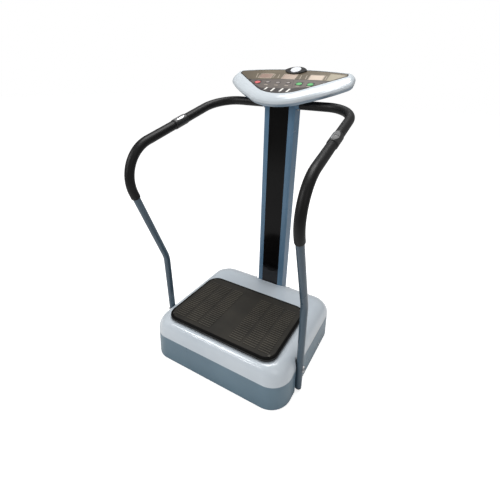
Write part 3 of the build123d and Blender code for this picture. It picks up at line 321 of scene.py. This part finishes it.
# Foam grips: sleeves of closed-cell foam pushed over the bars, one from the column to the
# pulse sensor and one from there round the bend. Their ends are rounded off.
PLATE_Y = -80.7 * MM
base_middle = mat_mid.y - PLATE_Y
TUBE_R, FOAM_R = 14.2 * MM, 17.8 * MM
BAR_END = Vector((85.6, 253, 1087.5)) * MM
BAR_BEND = Vector((315, 253, 1087.5)) * MM
GRIP_BEND = Vector((335.6, -337.1, 922.1)) * MM
LEG_BEND = Vector((331.9, -156.5, 444.2)) * MM
BAR_BEND_R, GRIP_BEND_R = 118 * MM, 138 * MM
SENSOR_AT, SENSOR_LENGTH, FOAM_END_AT = 0.455, 74.6 * MM, 0.34


def bent_line(start, corner, end, radius, step=8 * MM):
    """Points and directions along two runs joined by an arc."""
    a, b = (corner - start).normalized(), (end - corner).normalized()
    turn = a.angle(b)
    reach = radius * math.tan(turn / 2)
    first, last = corner - a * reach, corner + b * reach
    inward = (b - a * a.dot(b)).normalized()
    centre = first + inward * radius
    line = []
    count = max(2, round((first - start).length / step))
    line += [(start.lerp(first, i / count), a) for i in range(count)]
    count = max(6, round(radius * turn / step))
    for i in range(count + 1):
        t = turn * i / count
        line.append((centre - inward * radius * math.cos(t) + a * radius * math.sin(t),
                     a * math.cos(t) + inward * math.sin(t)))
    count = max(2, round((end - last).length / step))
    line += [(last.lerp(end, i / count), b) for i in range(1, count + 1)]
    return line


def sleeve(name, line, side, inner, outer, roll=5 * MM, around=32):
    """A soft tube along a line, with rolled ends."""
    lengths = [0.0]
    for (p, _), (q, _) in zip(line, line[1:]):
        lengths.append(lengths[-1] + (q - p).length)
    total = lengths[-1]
    stations = []
    for a in range(0, 91, 15):
        t = math.radians(a)
        stations.append((roll * (1 - math.cos(t)), outer - roll * 0.62 * (1 - math.sin(t))))
    ends = [(total - s, r) for s, r in reversed(stations)]
    stations += [(s, outer) for s in lengths if roll * 1.4 < s < total - roll * 1.4] + ends
    built = bmesh.new()
    across = None
    loops = []
    for s, r in stations:
        k = max(i for i, at in enumerate(lengths) if at <= s + 1e-9)
        k = min(k, len(line) - 2)
        share = (s - lengths[k]) / (lengths[k + 1] - lengths[k])
        middle = line[k][0].lerp(line[k + 1][0], share)
        along = line[k][1].lerp(line[k + 1][1], share).normalized()
        if across is None:
            across = along.cross(Vector((0, 0, 1))).normalized()
        across = (across - along * across.dot(along)).normalized()
        other = along.cross(across)
        loop = []
        for i in range(around):
            t = 2 * math.pi * i / around
            p = middle + (across * math.cos(t) + other * math.sin(t)) * r
            loop.append(built.verts.new((side * p.x, p.y + base_middle, p.z)))
        loops.append((loop, middle, across, other))
    for (first, *_), (second, *_) in zip(loops, loops[1:]):
        for i in range(around):
            j = (i + 1) % around
            built.faces.new((first[i], first[j], second[j], second[i]))
    for loop, middle, across, other in (loops[0], loops[-1]):
        bore = []
        for i in range(around):
            t = 2 * math.pi * i / around
            p = middle + (across * math.cos(t) + other * math.sin(t)) * inner
            bore.append(built.verts.new((side * p.x, p.y + base_middle, p.z)))
        for i in range(around):
            j = (i + 1) % around
            built.faces.new((loop[i], loop[j], bore[j], bore[i]))
    made = object_from(built, name)
    for face in made.data.polygons:
        face.use_smooth = True
    return made


foam = surface("grip_foam", (8, 8, 9), (14, 13, 13), size=25, rough=(0.36, 0.48),
               grain=0.2, grain_size=1400, gloss=0.28)
sensor_middle = BAR_BEND.lerp(GRIP_BEND, SENSOR_AT)
towards_bend = (BAR_BEND - GRIP_BEND).normalized()
half_sensor = towards_bend * SENSOR_LENGTH / 2
rear_line = bent_line(BAR_END, BAR_BEND, sensor_middle + half_sensor, BAR_BEND_R)
front_line = bent_line(sensor_middle - half_sensor, GRIP_BEND,
                       GRIP_BEND.lerp(LEG_BEND, FOAM_END_AT), GRIP_BEND_R)
for hand, side in (("left", -1), ("right", 1)):
    for part, line in (("rear", rear_line), ("front", front_line)):
        grip = sleeve(f"{hand}_{part}_foam", line, side, TUBE_R, FOAM_R)
        grip.data.materials.append(foam)
        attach(grip, "machine")
        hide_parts(f"{hand}_{part}_grip")

# Pulse sensors: black moulded half shells clamped round each bar between the two grips, with
# two polished steel contact plates on the upper half.
sensor_plastic = surface("sensor_plastic", (14, 14, 15), (22, 22, 23), rough=(0.3, 0.42),
                         grain=0.05)
cover(sensor_plastic, "sensor_tops", "sensor_clamps")
contact_steel = surface("contact_steel", (196, 197, 198), (222, 222, 222), size=100,
                        rough=(0.1, 0.2), metal=1.0)
cover(contact_steel, "sensor_plates")

# Console shell: a silver-white gloss rim over a blue-grey lower shell, both injection-moulded.
# The shell is screwed to a bracket on top of the column.
rim_plastic = surface("rim_plastic", (192, 200, 206), (206, 213, 218), size=4, rough=(0.14, 0.22),
                      coat=0.4)
cover(rim_plastic, "console_rim")
shell_plastic = surface("shell_plastic", (126, 144, 160), (142, 160, 176), size=4,
                        rough=(0.2, 0.3), coat=0.3)
cover(shell_plastic, "console_body")

# Control panel: a printed film on a flat plate. A bronze field at the top has the three
# display windows, a grey field has the keys, and a dark wedge with four light strokes lies
# nearest the user. A black line runs round all of it.
panel_black = surface("panel_black", (22, 20, 20), (30, 28, 27), size=10, rough=(0.25, 0.35),
                      coat=0.2)
cover(panel_black, "control_panel")
TILT = math.radians(26.4)
PANEL_TIP = Vector((0, base_middle + 184.1 * MM, 1131 * MM))
ALONG_V = Vector((0, math.cos(TILT), math.sin(TILT)))
ALONG_H = Vector((0, -math.sin(TILT), math.cos(TILT)))
NEAR_R, TANGENT_U, SIDE_SLOPE = 163.0, 102.6, 0.81      # mm; panel coordinates are u and v
FAR_R, FAR_MID = 1338.0, 194.8
PANEL_HALF, MARGIN, LINE = 240.0, 4.0, 1.2
FILM_RISE, MARK_RISE, FRAME_RISE, FILM_SINK = 0.12, 0.2, 0.25, 0.05


def on_panel(u, v, h):
    """A point from panel coordinates in mm: u to the right, v away from the user, h up."""
    return PANEL_TIP + Vector((u * MM, 0, 0)) + ALONG_V * v * MM + ALONG_H * h * MM


def near_edge(u):
    """The film's edge nearest the user: an arc at the tip, and straight sides."""
    u = abs(u)
    if u <= TANGENT_U:
        return NEAR_R - math.sqrt(NEAR_R ** 2 - u * u)
    return NEAR_R - math.sqrt(NEAR_R ** 2 - TANGENT_U ** 2) + (u - TANGENT_U) * SIDE_SLOPE


def far_edge(u):
    """The film's far edge, a shallow arc."""
    return FAR_MID - FAR_R + math.sqrt(FAR_R ** 2 - u * u)


def through(points):
    """A broken line v(u) through points."""
    def at(u):
        for (u0, v0), (u1, v1) in zip(points, points[1:]):
            if u <= u1 or (u1, v1) == points[-1]:
                return v0 + (v1 - v0) * (u - u0) / (u1 - u0)
    return at


def printed(name, material, outlines, height=FILM_RISE):
    """Thin printed shapes that lie on the panel."""
    built = bmesh.new()
    for outline in outlines:
        top = [built.verts.new(on_panel(u, v, height)) for u, v in outline]
        low = [built.verts.new(on_panel(u, v, -FILM_SINK)) for u, v in outline]
        built.faces.new(top)
        built.faces.new(list(reversed(low)))
        for i in range(len(top)):
            j = (i + 1) % len(top)
            built.faces.new((top[i], top[j], low[j], low[i]))
    made = object_from(built, name, material)
    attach(made, "machine")
    return made


FIELD_STEPS = 60


def field(low, high, u0, u1, holes=()):
    """Strips between two edges, cut round openings, as quads."""
    cuts = sorted({u0, u1} | {u0 + (u1 - u0) * i / FIELD_STEPS for i in range(FIELD_STEPS + 1)}
                  | {x for a, b, _, _ in holes for x in (a, b) if u0 < x < u1})
    quads = []
    for a, b in zip(cuts, cuts[1:]):
        middle = (a + b) / 2
        spans = [(low, high)]
        for ha, hb, hv0, hv1 in holes:
            if ha < middle < hb:
                spans = [(low, lambda u, v=hv0: v), (lambda u, v=hv1: v, high)]
        for bottom, top in spans:
            if top(a) - bottom(a) > 0.5 and top(b) - bottom(b) > 0.5:
                quads.append([(a, bottom(a)), (b, bottom(b)), (b, top(b)), (a, top(a))])
    return quads


divider = through([(-240, 95), (-157, 101), (22, 115), (240, 107)])
wedge_edge = through([(-129, 60), (-81, 34), (54, 40), (117, 60), (167, 89)])
WINDOW_W, WINDOW_H, WINDOW_V = 58.4, 37.4, 134.5
WINDOWS = [(u - WINDOW_W / 2, u + WINDOW_W / 2, WINDOW_V - WINDOW_H / 2, WINDOW_V + WINDOW_H / 2)
           for u in (-105.0, 5.5, 124.0)]
bronze = surface("bronze_film", (88, 78, 62), (116, 106, 88), size=6, rough=(0.25, 0.35), coat=0.2)
key_grey = surface("key_field", (84, 77, 72), (106, 98, 92), size=8, rough=(0.25, 0.35), coat=0.2)
dark_film = surface("dark_film", (44, 39, 38), (58, 52, 50), size=8, rough=(0.25, 0.35), coat=0.2)


def above_divider(u):
    return max(divider(u) + LINE, near_edge(u) + MARGIN + 1)


def above_wedge(u):
    return max(wedge_edge(u), near_edge(u) + MARGIN + 1)


upper = field(above_divider, lambda u: far_edge(u) - MARGIN, -PANEL_HALF, PANEL_HALF, WINDOWS)
printed("panel_upper_field", bronze, upper)
pale_film = surface("pale_film", (150, 141, 122), (172, 163, 142), size=8, rough=(0.25, 0.35),
                    coat=0.2)
pale = field(lambda u: above_divider(u) + 3, lambda u: far_edge(u) - MARGIN - 12,
             172, PANEL_HALF - 3)
printed("panel_pale_end", pale_film, pale, MARK_RISE)
KEYS = ("red_button", "grey_button_left", "grey_button_middle", "grey_button_right",
        "green_button_left", "green_button_right")
KEY_GAP_U, KEY_GAP_V = 0.8, 2.6         # the film's clearance round the keys
key_holes = []
for name in KEYS:
    lo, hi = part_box(name)
    middle, span = (lo + hi) / 2 / MM, (hi - lo) / MM
    depth = (span.y * math.cos(TILT) - span.z * math.sin(TILT)) / math.cos(2 * TILT)
    half_u, half_v = span.x / 2 + KEY_GAP_U, depth / 2 + KEY_GAP_V
    v = (middle.y - PANEL_TIP.y / MM) / math.cos(TILT)
    key_holes.append((middle.x - half_u, middle.x + half_u, v - half_v, v + half_v))
printed("panel_key_field", key_grey,
        field(above_wedge, lambda u: divider(u) - LINE, -160, 190, key_holes))
printed("panel_lower_wedge", dark_film,
        field(lambda u: near_edge(u) + MARGIN, lambda u: wedge_edge(u) - LINE, -128, 166))
light_print = surface("light_print", (168, 156, 142), (188, 176, 160), size=20, rough=(0.3, 0.4))
white_print = surface("white_print", (222, 220, 214), (236, 234, 228), size=20, rough=(0.3, 0.4))


def stroke(u0, v0, u1, v1, width):
    """The corners of a slanting bar with level ends."""
    return [(u0 - width / 2, v0), (u1 - width / 2, v1), (u1 + width / 2, v1), (u0 + width / 2, v0)]


BARS = ((-155, 154, -146, 117), (-68, 152, -66, 119), (-47, 150, -42, 118),
        (53, 151, 58, 116), (78, 150, 82, 118), (163, 149, 165, 118))
printed("panel_light_bars", light_print, [stroke(*b, 2.4) for b in BARS], MARK_RISE)
STROKES = ((-53, 40, -58, 22), (-19, 38, -24, 12), (19, 38, 13, 13), (50, 37, 44, 13))
printed("panel_white_strokes", white_print, [stroke(*b, 8) for b in STROKES], MARK_RISE)
FRAME_W = 2.2
sides = []
for u0, u1, v0, v1 in WINDOWS:
    for a, b, c, d in ((u0 - FRAME_W, u1 + FRAME_W, v0 - FRAME_W, v0),
                       (u0 - FRAME_W, u1 + FRAME_W, v1, v1 + FRAME_W),
                       (u0 - FRAME_W, u0, v0, v1), (u1, u1 + FRAME_W, v0, v1)):
        sides.append([(a, c), (b, c), (b, d), (a, d)])
printed("panel_window_frames", light_print, sides, FRAME_RISE)
LABELS = [(u - 8, u + 8, 59, 62.5) for u in (-70.5, -23.7, 22.8, 71.5, 118)]
marks = [[(a, c), (b, c), (b, d), (a, d)] for a, b, c, d in LABELS]
printed("panel_key_marks", light_print, marks, MARK_RISE)
printed("panel_key_divider", dark_film, [stroke(37, 108, 52, 50, 1.6)], MARK_RISE)

# Display windows: clear tinted acrylic in the plate, with the lit beige displays behind it.
window_tint_and_painted_light = surface("window_tint_and_painted_light", (150, 126, 114), (214, 198, 182), size=14, rough=(0.1, 0.16),
                      coat=0.3)
lens_lo, lens_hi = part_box("display_lenses")
# Painted light: the tint runs from darker at the left window to lighter at the right one.
tree = window_tint_and_painted_light.node_tree
across = tree.nodes.new("ShaderNodeSeparateXYZ")
tree.links.new(tree.nodes["Texture Coordinate"].outputs["Object"], across.inputs["Vector"])
share = tree.nodes.new("ShaderNodeMapRange")
for limit, value in (("From Min", lens_lo.x), ("From Max", lens_hi.x),
                     ("To Min", 0.25), ("To Max", 0.75)):
    share.inputs[limit].default_value = value
tree.links.new(across.outputs["X"], share.inputs["Value"])
tree.links.new(share.outputs["Result"], tree.nodes["Color Ramp"].inputs["Fac"])
cover(window_tint_and_painted_light, "display_lenses")

# Keys: soft rubber caps in red, grey and green. They stand a little above the film, in
# openings of the plate that they are pressed down through.
red_cap = surface("red_cap", (196, 84, 86), (212, 108, 108), size=60, rough=(0.35, 0.45))
cover(red_cap, "red_button")
grey_cap = surface("grey_cap", (146, 140, 138), (166, 158, 154), size=60, rough=(0.35, 0.45))
cover(grey_cap, "grey_button_left", "grey_button_middle", "grey_button_right")
green_cap = surface("green_cap", (72, 160, 88), (96, 180, 108), size=60, rough=(0.35, 0.45))
cover(green_cap, "green_button_left", "green_button_right")

# Badge: a black pointed oval that laps over the panel's far edge, with a plain white disc
# glued on it.
badge_black = surface("badge_black", (12, 12, 13), (18, 18, 19), rough=(0.12, 0.2), coat=0.6)
cover(badge_black, "badge_base")
disc_white = surface("disc_white", (212, 215, 220), (226, 228, 232), size=30, rough=(0.2, 0.3),
                     coat=0.3)
cover(disc_white, "badge_disc")

# Surroundings: a pale floor, three soft lamps, three small tubes that draw streaks on the
# deck's shoulder, a pale world, and the camera.
FLOOR_SIZE, FLOOR_GLOW = 30.0, 0.72
ground = bmesh.new()
bmesh.ops.create_grid(ground, x_segments=1, y_segments=1, size=FLOOR_SIZE / 2)
floor = object_from(ground, "floor")
floor_paint = bpy.data.materials.new("floor_paint")
floor_paint.use_nodes = True
tree = floor_paint.node_tree
shader = tree.nodes["Principled BSDF"]
shader.inputs["Base Color"].default_value = (0.86, 0.86, 0.86, 1)
shader.inputs["Roughness"].default_value = 0.9
shader.inputs["Specular IOR Level"].default_value = 0.0
rays = tree.nodes.new("ShaderNodeLightPath")
seen = tree.nodes.new("ShaderNodeMath")
seen.operation = "MAXIMUM"
tree.links.new(rays.outputs["Is Camera Ray"], seen.inputs[0])
tree.links.new(rays.outputs["Is Transmission Ray"], seen.inputs[1])
glow_amount = tree.nodes.new("ShaderNodeMath")
glow_amount.operation = "MULTIPLY"
glow_amount.inputs[1].default_value = FLOOR_GLOW
tree.links.new(seen.outputs["Value"], glow_amount.inputs[0])
glow = tree.nodes.new("ShaderNodeEmission")
tree.links.new(glow_amount.outputs["Value"], glow.inputs["Strength"])
total_light = tree.nodes.new("ShaderNodeAddShader")
tree.links.new(shader.outputs["BSDF"], total_light.inputs[0])
tree.links.new(glow.outputs["Emission"], total_light.inputs[1])
tree.links.new(total_light.outputs["Shader"], tree.nodes["Material Output"].inputs["Surface"])
floor.data.materials.append(floor_paint)

AMBIENT = 0.34
world = bpy.data.worlds.new("studio")
scene.world = world
world.use_nodes = True
tree = world.node_tree
sky = tree.nodes["Background"]
sky.inputs["Color"].default_value = (1, 1, 1, 1)
rays = tree.nodes.new("ShaderNodeLightPath")
level = tree.nodes.new("ShaderNodeMapRange")
level.inputs["To Min"].default_value, level.inputs["To Max"].default_value = AMBIENT, 1.0
tree.links.new(rays.outputs["Is Camera Ray"], level.inputs["Value"])
tree.links.new(level.outputs["Result"], sky.inputs["Strength"])

LAMPS = (("key", (-1.6, -2.4, 2.9), 1.4, 1.4, 36),       # name, place, length, width, watts
         ("side", (2.6, -1.6, 2.2), 1.6, 1.6, 6),
         ("top", (0.0, 0.5, 3.4), 2.0, 2.0, 60),
         ("tube_near", (-0.82, -2.9, 1.6), 0.40, 0.30, 3.6),
         ("tube_middle", (-1.25, -2.9, 1.6), 0.16, 0.28, 1.3),
         ("tube_far", (-1.62, -2.9, 1.6), 0.30, 0.28, 2.4))
target = Vector((0, 0, 0.55))
for name, place, length, width, power in LAMPS:
    light = bpy.data.lights.new(name, "AREA")
    light.shape = "DISK" if length == width else "RECTANGLE"
    light.size, light.size_y, light.energy = length, width, power
    lamp = bpy.data.objects.new(name, light)
    lamp.location = place
    lamp.rotation_mode = "QUATERNION"
    lamp.rotation_quaternion = (target - Vector(place)).to_track_quat("-Z", "Y")
    scene.collection.objects.link(lamp)

AZIMUTH, ELEVATION, ROLL = map(math.radians, (28.26, 25.90, 2.02))
eye = Vector((623.58, -1067.64, 1198.86)) * MM + Vector((0, base_middle, 0))
back = Vector((math.sin(AZIMUTH) * math.cos(ELEVATION), -math.cos(AZIMUTH) * math.cos(ELEVATION),
               math.sin(ELEVATION)))
level_right = (-back).cross(Vector((0, 0, 1))).normalized()
level_up = level_right.cross(-back)
right = level_right * math.cos(ROLL) + level_up * math.sin(ROLL)
up = level_up * math.cos(ROLL) - level_right * math.sin(ROLL)
camera_data = bpy.data.cameras.new("view")
camera_data.lens, camera_data.sensor_width = 23.34, 36
camera_data.shift_x, camera_data.shift_y = -0.0179, -0.0382
camera = bpy.data.objects.new("view", camera_data)
camera.matrix_world = Matrix.Translation(eye) @ Matrix((right, up, back)).transposed().to_4x4()
scene.collection.objects.link(camera)
scene.camera = camera
scene.view_settings.view_transform = "Standard"
